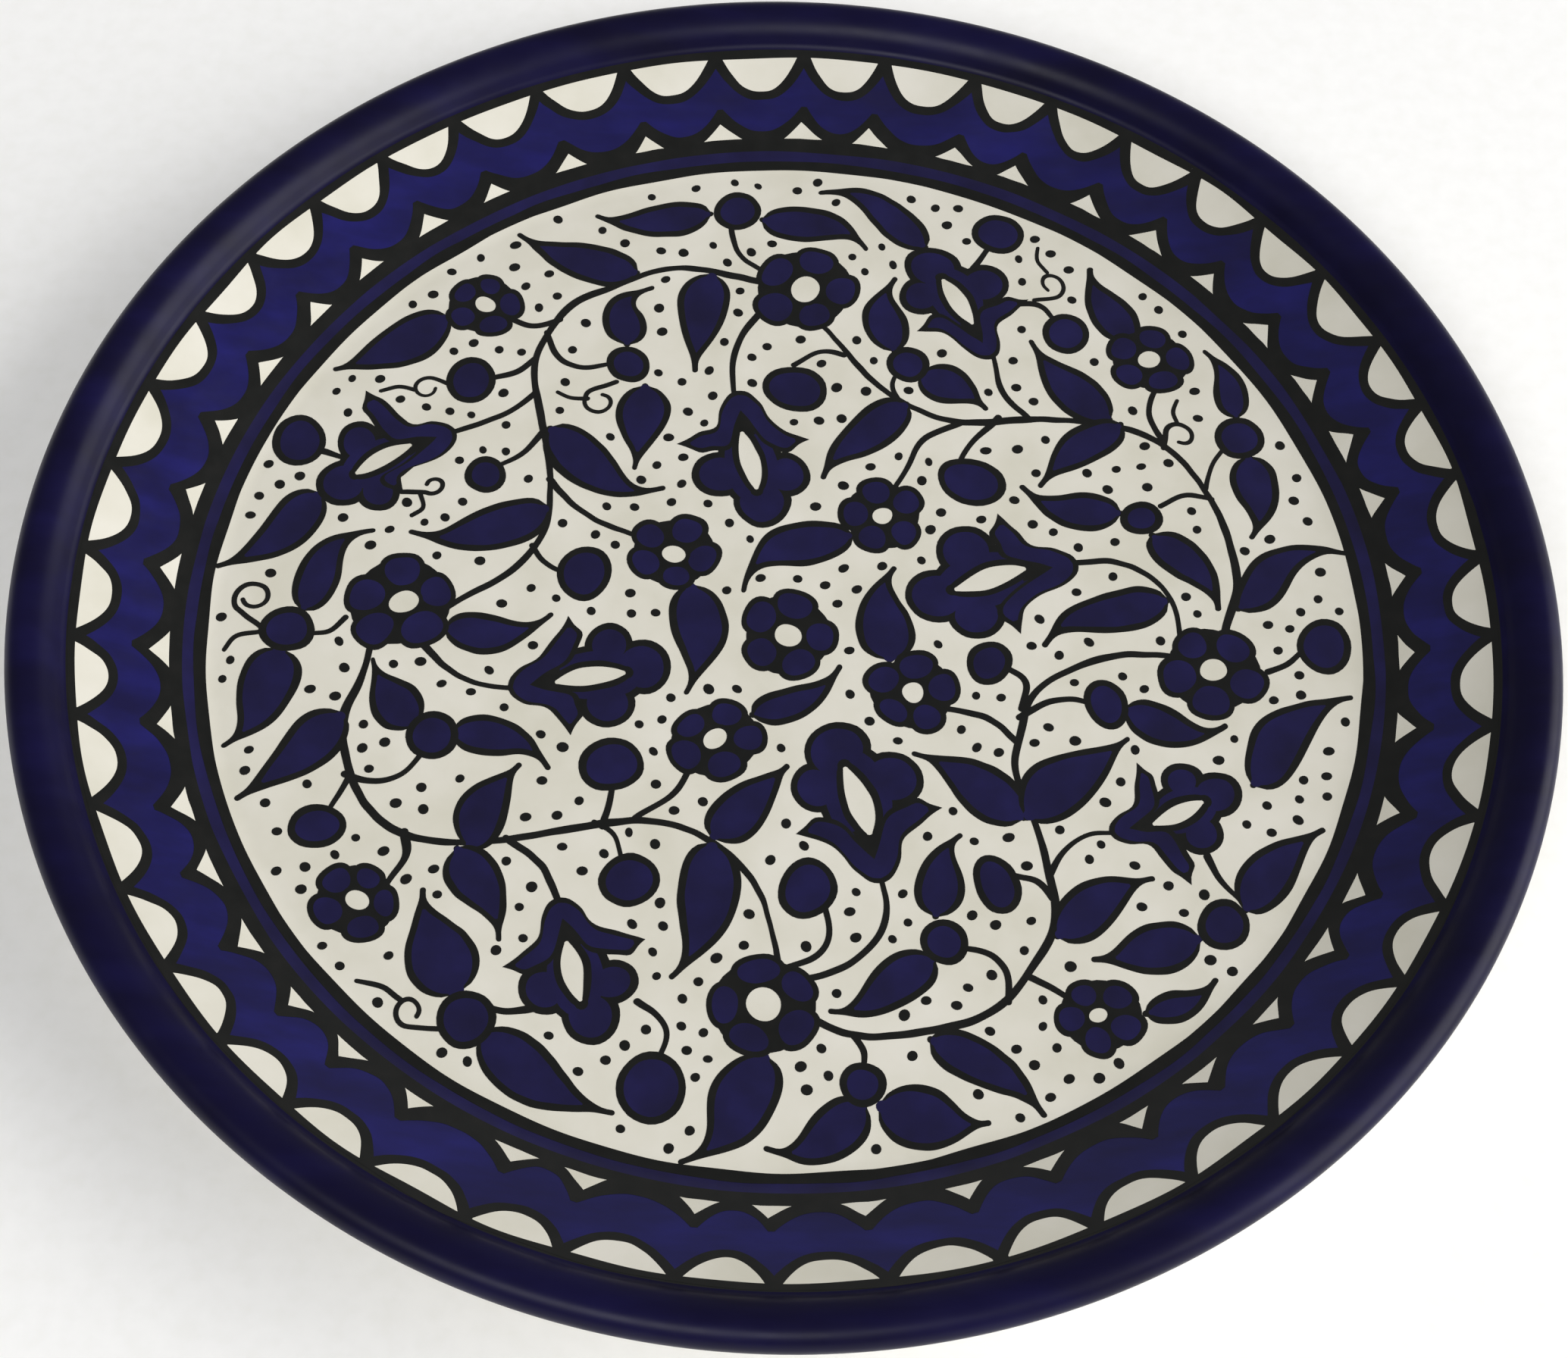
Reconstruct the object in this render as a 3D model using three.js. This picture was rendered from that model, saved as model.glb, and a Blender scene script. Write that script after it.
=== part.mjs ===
// A hand painted ceramic plate: a turned earthenware body with a foot ring and a rolled lip,
// and the glaze coats and painted bands that lie on it, each as a closed ring or disc of its own.
// Millimetres, +Z up. The origin is the middle of the foot ring's resting face.
import * as THREE from 'three';

// Driving dimensions
const PLATE_RADIUS = 135;
const WELL_FLOOR_HEIGHT = 10;
const FLOOR_THICKNESS = 5.6;
const WALL_SLOPE = THREE.MathUtils.degToRad(23);
const COAT_THICKNESS = 0.45;

// The dish: a flat floor, a cove and a straight sloping wall
const COVE_START_RADIUS = 100;
const COVE_BEND = 16;

// The painted bands, each ending at the radius where the next begins
const CREAM_RADIUS = 102.4;
const INNER_LINE_RADIUS = 104.2;
const RING_RADIUS = 106.2;
const OUTER_LINE_RADIUS = 108.4;
const ARCH_BASE_RADIUS = 123.4;
const BORDER_LINE_RADIUS = 124.9;

// The rolled lip: a small hollow above the border line, an inner face, a crest and a round edge
const LIP_HOLLOW_BEND = 2.2;
const LIP_INNER_SLOPE = THREE.MathUtils.degToRad(58);
const LIP_INNER_LENGTH = 1.0;
const LIP_EDGE_BEND = 3.4;

// The foot ring and the underside
const FOOT_OUTER_RADIUS = 88;
const FOOT_INNER_RADIUS = 80;
const FOOT_ROOT_BEND = 2;
const FOOT_EDGE_BEND = 0.8;
const GLAZE_LINE_HEIGHT = 1.2;
const BACK_COVE_BEND = COVE_BEND + FLOOR_THICKNESS;

// How finely the plate is divided round its axis, and each round stretch of its outline
const SEGMENTS_AROUND = 48;
const FILLET_STEPS = 3;
const CREST_STEPS = 4;
const EDGE_STEPS = 5;
const FOOT_EDGE_STEPS = 2;

const RIGHT_ANGLE = Math.PI / 2;

// A point of the outer skin: its radius and height, and the direction that points out of the plate,
// measured from straight outward (0) through straight up (a right angle).
function skinPoint(radius, height, outward) {
  return { radius, height, outward };
}

function evenSteps(from, to, steps) {
  return Array.from({ length: steps + 1 }, (_, step) => from + (to - from) * step / steps);
}

// A round stretch about a centre. On a bulging stretch the centre is inside the clay,
// and on a hollow one it is outside.
function arcStretch(centre, bend, from, to, steps, hollow = false) {
  const side = hollow ? -1 : 1;
  return evenSteps(from, to, steps).map((outward) => skinPoint(
    centre.radius + side * bend * Math.cos(outward),
    centre.height + side * bend * Math.sin(outward),
    outward,
  ));
}

// The centre of a round stretch that begins at a point of the skin.
function centreBehind(point, bend, hollow = false) {
  const side = hollow ? 1 : -1;
  return {
    radius: point.radius + side * bend * Math.cos(point.outward),
    height: point.height + side * bend * Math.sin(point.outward),
  };
}

// The dish's upper face at a radius.
function dishPoint(radius) {
  const coveWidth = COVE_BEND * Math.sin(WALL_SLOPE);
  const across = Math.max(0, radius - COVE_START_RADIUS);
  if (across < coveWidth) {
    const slope = Math.asin(across / COVE_BEND);
    const rise = COVE_BEND * (1 - Math.cos(slope));
    return skinPoint(radius, WELL_FLOOR_HEIGHT + rise, RIGHT_ANGLE + slope);
  }
  const coveRise = COVE_BEND * (1 - Math.cos(WALL_SLOPE));
  const wallRise = (across - coveWidth) * Math.tan(WALL_SLOPE);
  return skinPoint(radius, WELL_FLOOR_HEIGHT + coveRise + wallRise, RIGHT_ANGLE + WALL_SLOPE);
}

function dishStretch(from, to) {
  return [dishPoint(from), dishPoint(to)];
}

// From the border line up the hollow and the inner face, over the crest and round the edge
// until the skin faces down along the back of the wall.
function lipStretch() {
  const start = dishPoint(BORDER_LINE_RADIUS);
  const innerOutward = RIGHT_ANGLE + LIP_INNER_SLOPE;
  const hollowCentre = centreBehind(start, LIP_HOLLOW_BEND, true);
  const hollow = arcStretch(
    hollowCentre, LIP_HOLLOW_BEND, start.outward, innerOutward, FILLET_STEPS, true);
  const foot = hollow.at(-1);
  const shoulder = skinPoint(
    foot.radius + LIP_INNER_LENGTH * Math.cos(LIP_INNER_SLOPE),
    foot.height + LIP_INNER_LENGTH * Math.sin(LIP_INNER_SLOPE),
    innerOutward,
  );
  const crestBend = (PLATE_RADIUS - LIP_EDGE_BEND - shoulder.radius) / Math.sin(LIP_INNER_SLOPE);
  const crestCentre = centreBehind(shoulder, crestBend);
  const crest = arcStretch(crestCentre, crestBend, innerOutward, RIGHT_ANGLE, CREST_STEPS);
  const edgeCentre = centreBehind(crest.at(-1), LIP_EDGE_BEND);
  const edge = arcStretch(edgeCentre, LIP_EDGE_BEND, RIGHT_ANGLE, 0, EDGE_STEPS);
  const turnedUnder = arcStretch(edgeCentre, LIP_EDGE_BEND, 0, WALL_SLOPE - RIGHT_ANGLE, CREST_STEPS);
  return [...hollow, ...crest, ...edge.slice(1), ...turnedUnder.slice(1)];
}

// From the lip down the back of the wall, round the back cove to the flat underside,
// and down the outer side of the foot ring to the line where the glaze stops.
function backStretch(lipEnd) {
  const backHeight = WELL_FLOOR_HEIGHT - FLOOR_THICKNESS;
  const coveRise = BACK_COVE_BEND * (1 - Math.cos(WALL_SLOPE));
  const coveTop = backHeight + coveRise;
  const coveTopRadius = lipEnd.radius - (lipEnd.height - coveTop) / Math.tan(WALL_SLOPE);
  const wallEnd = skinPoint(coveTopRadius, coveTop, lipEnd.outward);
  const coveCentre = centreBehind(wallEnd, BACK_COVE_BEND);
  const cove = arcStretch(coveCentre, BACK_COVE_BEND, wallEnd.outward, -RIGHT_ANGLE, FILLET_STEPS);
  const rootCentre = {
    radius: FOOT_OUTER_RADIUS + FOOT_ROOT_BEND,
    height: backHeight - FOOT_ROOT_BEND,
  };
  const root = arcStretch(rootCentre, FOOT_ROOT_BEND, -RIGHT_ANGLE, 0, FILLET_STEPS, true);
  return [lipEnd, ...cove, ...root, skinPoint(FOOT_OUTER_RADIUS, GLAZE_LINE_HEIGHT, 0)];
}

// The bare end of the foot ring, from the outer glaze line to the inner one.
function bareFootStretch() {
  const outerCentre = { radius: FOOT_OUTER_RADIUS - FOOT_EDGE_BEND, height: FOOT_EDGE_BEND };
  const innerCentre = { radius: FOOT_INNER_RADIUS + FOOT_EDGE_BEND, height: FOOT_EDGE_BEND };
  return [
    ...arcStretch(outerCentre, FOOT_EDGE_BEND, 0, -RIGHT_ANGLE, FOOT_EDGE_STEPS),
    ...arcStretch(innerCentre, FOOT_EDGE_BEND, -RIGHT_ANGLE, -2 * RIGHT_ANGLE, FOOT_EDGE_STEPS),
  ];
}

// From the inner glaze line up into the recess and along its flat roof to the axis.
function recessStretch() {
  const roofHeight = WELL_FLOOR_HEIGHT - FLOOR_THICKNESS;
  const rootCentre = {
    radius: FOOT_INNER_RADIUS - FOOT_ROOT_BEND,
    height: roofHeight - FOOT_ROOT_BEND,
  };
  const root = arcStretch(
    rootCentre, FOOT_ROOT_BEND, -2 * RIGHT_ANGLE, -RIGHT_ANGLE, FILLET_STEPS, true);
  return [
    skinPoint(FOOT_INNER_RADIUS, GLAZE_LINE_HEIGHT, -2 * RIGHT_ANGLE),
    ...root,
    skinPoint(0, roofHeight, -RIGHT_ANGLE),
  ];
}

function outerVertex(point) {
  return new THREE.Vector2(point.radius, point.height);
}

// The point of the clay that lies one coat below a point of the skin.
function clayVertex(point) {
  const onAxis = point.radius === 0;
  const radius = onAxis ? 0 : point.radius - COAT_THICKNESS * Math.cos(point.outward);
  return new THREE.Vector2(radius, point.height - COAT_THICKNESS * Math.sin(point.outward));
}

function closeLoop(outline) {
  const touchesAxis = outline[0].x === 0;
  return touchesAxis ? outline : [...outline, outline[0]];
}

// A solid of revolution about +Z from an outline that runs anticlockwise round the material.
function revolve(name, outline, material) {
  const geometry = new THREE.LatheGeometry(closeLoop(outline), SEGMENTS_AROUND);
  geometry.rotateX(RIGHT_ANGLE);
  const mesh = new THREE.Mesh(geometry, material);
  mesh.name = name;
  return mesh;
}

function coat(name, stretch, material) {
  const outside = stretch.map(outerVertex);
  const inside = stretch.map(clayVertex);
  const fromAxis = stretch[0].radius === 0;
  const outline = fromAxis ? [...inside, ...outside.reverse()] : [...outside.reverse(), ...inside];
  return revolve(name, outline, material);
}

function glaze(color, roughness) {
  return new THREE.MeshStandardMaterial({ color, roughness, metalness: 0 });
}

const COBALT = 0x1c1c50;
const BLACK_PIGMENT = 0x161816;
const CREAM = 0xe4e1d4;
const BISCUIT = 0xc9a78a;

const lip = lipStretch();
const stretches = {
  well_glaze: [dishPoint(0), ...dishStretch(COVE_START_RADIUS, CREAM_RADIUS)],
  well_inner_line: dishStretch(CREAM_RADIUS, INNER_LINE_RADIUS),
  well_ring_glaze: dishStretch(INNER_LINE_RADIUS, RING_RADIUS),
  well_outer_line: dishStretch(RING_RADIUS, OUTER_LINE_RADIUS),
  wall_band_glaze: dishStretch(OUTER_LINE_RADIUS, ARCH_BASE_RADIUS),
  border_line: dishStretch(ARCH_BASE_RADIUS, BORDER_LINE_RADIUS),
  rim_glaze: lip,
  back_glaze: backStretch(lip.at(-1)),
  foot_recess_glaze: recessStretch(),
};

// The clay follows the underside of every coat and comes out flush with the skin at the bare foot.
function clayOutline() {
  const { foot_recess_glaze: recess, ...outsideFoot } = stretches;
  const [first, ...others] = Object.values(outsideFoot);
  const underCoats = [...first, ...others.flatMap((stretch) => stretch.slice(1))];
  const bareFoot = [stretches.back_glaze.at(-1), ...bareFootStretch(), recess[0]];
  return [
    ...underCoats.map(clayVertex),
    ...bareFoot.map(outerVertex),
    ...recess.map(clayVertex),
  ].reverse();
}

const plate = new THREE.Group();
plate.name = 'hand_painted_plate';
plate.add(
  revolve('clay_body', clayOutline(), glaze(BISCUIT, 0.85)),
  coat('well_glaze', stretches.well_glaze, glaze(CREAM, 0.25)),
  coat('well_inner_line', stretches.well_inner_line, glaze(BLACK_PIGMENT, 0.3)),
  coat('well_ring_glaze', stretches.well_ring_glaze, glaze(COBALT, 0.22)),
  coat('well_outer_line', stretches.well_outer_line, glaze(BLACK_PIGMENT, 0.3)),
  coat('wall_band_glaze', stretches.wall_band_glaze, glaze(COBALT, 0.22)),
  coat('border_line', stretches.border_line, glaze(BLACK_PIGMENT, 0.3)),
  coat('rim_glaze', stretches.rim_glaze, glaze(COBALT, 0.22)),
  coat('back_glaze', stretches.back_glaze, glaze(CREAM, 0.3)),
  coat('foot_recess_glaze', stretches.foot_recess_glaze, glaze(CREAM, 0.3)),
);

export default plate;
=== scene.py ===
"""A hand painted ceramic plate: a turned earthenware body in glaze coats, with its painting in raised paint.

Lengths are in metres in the frame's own axes: +Z up, the origin in the middle of the foot's resting face. The
painting is drawn in the plan, where a point is a complex number x + y i, and is then laid on the dish.
"""
import math
import random

import bmesh
import bpy
import numpy as np
from mathutils import Matrix, Vector
from mathutils.geometry import delaunay_2d_cdt


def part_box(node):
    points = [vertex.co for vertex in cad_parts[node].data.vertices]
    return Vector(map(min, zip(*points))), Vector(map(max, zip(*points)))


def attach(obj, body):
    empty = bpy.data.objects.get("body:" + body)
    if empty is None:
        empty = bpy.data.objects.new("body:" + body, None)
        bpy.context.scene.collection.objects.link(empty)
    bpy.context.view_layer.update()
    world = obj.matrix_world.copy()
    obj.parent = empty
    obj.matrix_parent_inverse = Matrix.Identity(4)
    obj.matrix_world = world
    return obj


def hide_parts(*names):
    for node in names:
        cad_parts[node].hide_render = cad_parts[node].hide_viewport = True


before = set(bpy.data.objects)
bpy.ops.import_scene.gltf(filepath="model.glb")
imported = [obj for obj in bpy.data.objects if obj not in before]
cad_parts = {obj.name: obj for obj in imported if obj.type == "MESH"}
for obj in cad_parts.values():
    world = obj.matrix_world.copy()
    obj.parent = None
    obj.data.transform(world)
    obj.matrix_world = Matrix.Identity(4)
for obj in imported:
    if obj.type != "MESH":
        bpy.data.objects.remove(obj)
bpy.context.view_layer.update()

MM = 0.001
RIGHT_ANGLE = math.pi / 2


# ---- the dish, worked out from the frame

def node_points(node):
    """A CAD node's vertices as rows of distance from the axis and height."""
    return [(math.hypot(v.co.x, v.co.y), v.co.z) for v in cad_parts[node].data.vertices]


def top_edge(node):
    """Where the upper face of a dish coat ends: the distance from the axis of its highest vertex."""
    return max(node_points(node), key=lambda point: point[1])[0]


COAT = 0.45 * MM
FLOOR_HEIGHT = max(height for radius, height in node_points("well_glaze") if radius < MM)
WELL_RADIUS = top_edge("well_glaze")
INNER_LINE_RADIUS = top_edge("well_inner_line")
RING_RADIUS = top_edge("well_ring_glaze")
OUTER_LINE_RADIUS = top_edge("well_outer_line")
ARCH_BASE_RADIUS = top_edge("wall_band_glaze")
BORDER_RADIUS = top_edge("border_line")
PLATE_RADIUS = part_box("rim_glaze")[1].x
GLAZE_LINE_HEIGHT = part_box("back_glaze")[0].z
FOOT_OUTER_RADIUS = max(r for r, height in node_points("back_glaze") if height - GLAZE_LINE_HEIGHT < 0.1 * MM)
FOOT_INNER_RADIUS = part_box("foot_recess_glaze")[1].x - COAT
RECESS_ROOF_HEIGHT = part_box("foot_recess_glaze")[1].z - COAT

WALL_SLOPE = math.radians(23)
COVE_START_RADIUS = 100 * MM
COVE_BEND = 16 * MM
BACK_COVE_BEND = COVE_BEND + FLOOR_HEIGHT - RECESS_ROOF_HEIGHT
LIP_HOLLOW_BEND = 2.2 * MM
LIP_INNER_SLOPE = math.radians(58)
LIP_INNER_LENGTH = 1.0 * MM
LIP_EDGE_BEND = 3.4 * MM
FOOT_ROOT_BEND = 2 * MM
FOOT_EDGE_BEND = 0.8 * MM

SECTORS = 360
ARC_STEP = math.radians(3)
DISH_STEP = 1.0 * MM


def dish_height(radius):
    """The height of the dish's upper face: a flat floor, a cove and a straight sloping wall."""
    across = np.maximum(0, radius - COVE_START_RADIUS)
    cove_width = COVE_BEND * math.sin(WALL_SLOPE)
    in_cove = np.minimum(across, cove_width)
    cove_rise = COVE_BEND - np.sqrt(COVE_BEND**2 - in_cove**2)
    return FLOOR_HEIGHT + cove_rise + (across - in_cove) * math.tan(WALL_SLOPE)


def dish_slope(radius):
    """How steeply the upper face rises at a radius, as an angle."""
    across = np.clip(radius - COVE_START_RADIUS, 0, COVE_BEND * math.sin(WALL_SLOPE))
    return np.arcsin(across / COVE_BEND)


# A stretch of the plate's skin is an array with a row for each point: its distance from the axis, its height
# and the direction that points out of the plate, measured from straight outward (0) through straight up.

def dish_stretch(start, end):
    steps = max(1, math.ceil((end - start) / DISH_STEP))
    radius = np.linspace(start, end, steps + 1)
    return np.column_stack([radius, dish_height(radius), RIGHT_ANGLE + dish_slope(radius)])


def arc_stretch(centre, bend, start, end, hollow=False):
    steps = max(2, math.ceil(abs(end - start) / ARC_STEP))
    outward = np.linspace(start, end, steps + 1)
    reach = -bend if hollow else bend
    radius = centre[0] + reach * np.cos(outward)
    height = centre[1] + reach * np.sin(outward)
    return np.column_stack([radius, height, outward])


def centre_behind(point, bend, hollow=False):
    """The centre of a round stretch that begins at a point of the skin."""
    reach = bend if hollow else -bend
    return point[0] + reach * math.cos(point[2]), point[1] + reach * math.sin(point[2])


def lip_stretch():
    """From the border line up the hollow, over the crest and round the edge until the skin faces down."""
    start = dish_stretch(ARCH_BASE_RADIUS, BORDER_RADIUS)[-1]
    inner_outward = RIGHT_ANGLE + LIP_INNER_SLOPE
    hollow_centre = centre_behind(start, LIP_HOLLOW_BEND, True)
    hollow = arc_stretch(hollow_centre, LIP_HOLLOW_BEND, start[2], inner_outward, True)
    foot = hollow[-1]
    shoulder = (
        foot[0] + LIP_INNER_LENGTH * math.cos(LIP_INNER_SLOPE),
        foot[1] + LIP_INNER_LENGTH * math.sin(LIP_INNER_SLOPE),
        inner_outward,
    )
    crest_bend = (PLATE_RADIUS - LIP_EDGE_BEND - shoulder[0]) / math.sin(LIP_INNER_SLOPE)
    crest_centre = centre_behind(shoulder, crest_bend)
    crest = arc_stretch(crest_centre, crest_bend, inner_outward, RIGHT_ANGLE)
    edge_centre = centre_behind(crest[-1], LIP_EDGE_BEND)
    edge = arc_stretch(edge_centre, LIP_EDGE_BEND, RIGHT_ANGLE, 0)
    turned_under = arc_stretch(edge_centre, LIP_EDGE_BEND, 0, WALL_SLOPE - RIGHT_ANGLE)
    return np.vstack([hollow, crest, edge[1:], turned_under[1:]])


def back_stretch(lip_end):
    """From the lip down the back of the wall, round the cove and down the foot ring to the glaze line."""
    cove_top = RECESS_ROOF_HEIGHT + BACK_COVE_BEND * (1 - math.cos(WALL_SLOPE))
    cove_top_radius = lip_end[0] - (lip_end[1] - cove_top) / math.tan(WALL_SLOPE)
    wall_end = (cove_top_radius, cove_top, lip_end[2])
    cove_centre = centre_behind(wall_end, BACK_COVE_BEND)
    cove = arc_stretch(cove_centre, BACK_COVE_BEND, wall_end[2], -RIGHT_ANGLE)
    root_centre = (FOOT_OUTER_RADIUS + FOOT_ROOT_BEND, RECESS_ROOF_HEIGHT - FOOT_ROOT_BEND)
    root = arc_stretch(root_centre, FOOT_ROOT_BEND, -RIGHT_ANGLE, 0, True)
    return np.vstack([lip_end, cove, root, (FOOT_OUTER_RADIUS, GLAZE_LINE_HEIGHT, 0)])


def bare_foot_stretch():
    outer_centre = (FOOT_OUTER_RADIUS - FOOT_EDGE_BEND, FOOT_EDGE_BEND)
    inner_centre = (FOOT_INNER_RADIUS + FOOT_EDGE_BEND, FOOT_EDGE_BEND)
    outer = arc_stretch(outer_centre, FOOT_EDGE_BEND, 0, -RIGHT_ANGLE)
    inner = arc_stretch(inner_centre, FOOT_EDGE_BEND, -RIGHT_ANGLE, -2 * RIGHT_ANGLE)
    return np.vstack([outer, inner])


def recess_stretch():
    """From the inner glaze line up into the recess and along its flat roof to the axis."""
    root_centre = (FOOT_INNER_RADIUS - FOOT_ROOT_BEND, RECESS_ROOF_HEIGHT - FOOT_ROOT_BEND)
    root = arc_stretch(root_centre, FOOT_ROOT_BEND, -2 * RIGHT_ANGLE, -RIGHT_ANGLE, True)
    glaze_line = (FOOT_INNER_RADIUS, GLAZE_LINE_HEIGHT, -2 * RIGHT_ANGLE)
    return np.vstack([glaze_line, root, (0, RECESS_ROOF_HEIGHT, -RIGHT_ANGLE)])


LIP = lip_stretch()
STRETCHES = {
    "well_glaze": np.vstack([(0, FLOOR_HEIGHT, RIGHT_ANGLE), dish_stretch(COVE_START_RADIUS, WELL_RADIUS)]),
    "well_inner_line": dish_stretch(WELL_RADIUS, INNER_LINE_RADIUS),
    "well_ring_glaze": dish_stretch(INNER_LINE_RADIUS, RING_RADIUS),
    "well_outer_line": dish_stretch(RING_RADIUS, OUTER_LINE_RADIUS),
    "wall_band_glaze": dish_stretch(OUTER_LINE_RADIUS, ARCH_BASE_RADIUS),
    "border_line": dish_stretch(ARCH_BASE_RADIUS, BORDER_RADIUS),
    "rim_glaze": LIP,
    "back_glaze": back_stretch(LIP[-1]),
    "foot_recess_glaze": recess_stretch(),
}


# ---- meshes

def mesh_object(name, vertices, faces, material):
    mesh = bpy.data.meshes.new(name)
    mesh.from_pydata([tuple(v) for v in vertices], [], faces)
    mesh.materials.append(material)
    piece = bpy.data.objects.new(name, mesh)
    bpy.context.scene.collection.objects.link(piece)
    return piece


def face_outward(mesh):
    shape = bmesh.new()
    shape.from_mesh(mesh)
    bmesh.ops.recalc_face_normals(shape, faces=shape.faces)
    shape.to_mesh(mesh)
    shape.free()


def revolve(name, outline, material):
    """A solid turned about +Z from an outline of (distance from the axis, height) that closes on itself."""
    turns = np.linspace(0, 2 * math.pi, SECTORS, endpoint=False)
    vertices, rings = [], []
    for radius, height in outline:
        on_axis = radius < 1e-9
        first = len(vertices)
        count = 1 if on_axis else SECTORS
        vertices.extend((radius * math.cos(turn), radius * math.sin(turn), height) for turn in turns[:count])
        rings.append([first] * SECTORS if on_axis else list(range(first, first + SECTORS)))
    faces = []
    for ring, following in zip(rings, rings[1:] + rings[:1]):
        for sector in range(SECTORS):
            beside = (sector + 1) % SECTORS
            corners = (ring[sector], ring[beside], following[beside], following[sector])
            distinct = list(dict.fromkeys(corners))
            if len(distinct) > 2:
                faces.append(distinct)
    piece = mesh_object(name, vertices, faces, material)
    face_outward(piece.data)
    piece.data.shade_smooth()
    piece.data.set_sharp_from_angle(angle=math.radians(40))
    return piece


def outer_line(stretch):
    return stretch[:, :2]


def clay_line(stretch):
    """The line that lies one coat below a stretch of the skin."""
    inward = np.column_stack([np.cos(stretch[:, 2]), np.sin(stretch[:, 2])]) * COAT
    inward[stretch[:, 0] < 1e-9, 0] = 0
    return stretch[:, :2] - inward


def coat(name, material):
    stretch = STRETCHES[name]
    outline = np.vstack([outer_line(stretch)[::-1], clay_line(stretch)])
    return revolve(name + "_fine", outline, material)


def clay_body(material):
    """The clay follows the underside of every coat and comes out flush with the skin at the bare foot."""
    recess = STRETCHES["foot_recess_glaze"]
    under_coats = [clay_line(stretch) for name, stretch in STRETCHES.items() if name != "foot_recess_glaze"]
    joined = [under_coats[0]] + [line[1:] for line in under_coats[1:]]
    back_end = outer_line(STRETCHES["back_glaze"][-1:])
    foot = outer_line(bare_foot_stretch())
    outline = np.vstack([*joined, back_end, foot, outer_line(recess[:1]), clay_line(recess)])
    return revolve("clay_body_fine", outline, material)


# ---- the design of the well
# Positions are in hundredths of the well's radius, with x to the right and y away from the viewer.

# Positions and sizes in this section are in hundredths of the well's radius.

# Each flower: its centre, its radius, its cream heart's radius and the turn of its first petal in degrees.
FLOWERS = [
    ((-58.5, 65.5), 7.5, 2, 7),
    ((0.5, 72.5), 10, 3, 0),
    ((-67, 1), 10, 2.5, 20),
    ((-20.5, 14), 8, 2, -8),
    ((0.5, -2), 9, 2.5, 3),
    ((16, 23.5), 8, 2, 35),
    ((64, 60), 7.5, 2, 12),
    ((74, -5), 9.5, 2.5, -18),
    ((-68.5, -56), 7.5, 2, -5),
    ((-11, -23), 8, 2, 0),
    ((-0.5, -71.5), 9.5, 3, 35),
    ((22, -12), 8, 2, 12),
    ((54, -70.5), 7.5, 1.5, -20),
]

# Each tulip: the joint where its stem ends, the far end of its lobes and the tips of its calyx's two wings.
TULIPS = [
    ((-61.5, 37.5), (-84, 23.5), (-77.5, 45), (-68.5, 23)),
    ((-11, 48.5), (-5, 20), (-21, 36.5), (3, 39)),
    ((35, 58.5), (23, 83), (21.5, 64), (41.5, 72.5)),
    ((50.5, 16), (21, 7), (36.5, 25), (40.5, 0.5)),
    ((-47.5, -14.5), (-19.5, -9.5), (-38.5, 0), (-35.5, -23.5)),
    ((-35.5, -54), (-28, -79), (-43.5, -67), (-20.5, -60.5)),
    ((18, -48.5), (9.5, -19), (3.5, -40.5), (27.5, -34)),
    ((56, -37), (78, -28.5), (60.5, -23.5), (69, -46)),
]

# Each berry: its centre and its half width and half height.
BERRIES = [
    ((-89, 33.5), 4.5, 5.5),
    ((-59.5, 48.5), 4.5, 5),
    ((-55, 28.5), 4, 4),
    ((-35.5, 8.5), 5, 5.5),
    ((-0.5, 50), 6, 5),
    ((36, 87), 5.5, 4.5),
    ((49, 65), 4.5, 4.5),
    ((32, 31.5), 6, 5),
    ((93.5, 1), 5, 5.5),
    ((-76.5, -43), 5.5, 4),
    ((-28.5, -29), 5.5, 5),
    ((-24, -50), 5.5, 5),
    ((-18, -86.5), 6, 6),
    ((35.5, -5.5), 4, 4.5),
    ((5.5, -50), 5, 5.5),
    ((37, -47.5), 4, 5.5),
    ((55.5, -12.5), 4, 5),
    ((-13, 89.5), 4.5, 4.5),
    ((-31, 53.5), 4, 4),
    ((20, 56.5), 4, 4),
    ((80, 44), 4.5, 4.5),
    ((62, 25.5), 3.5, 3.5),
    ((-86, -5.5), 4.5, 4.5),
    ((-59, -25), 4.5, 4.5),
    ((-48.5, -76.5), 5, 5),
    ((28.5, -58.5), 4, 4),
    ((74, -53), 4.5, 4.5),
    ((16, -84), 4, 4),
]

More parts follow.
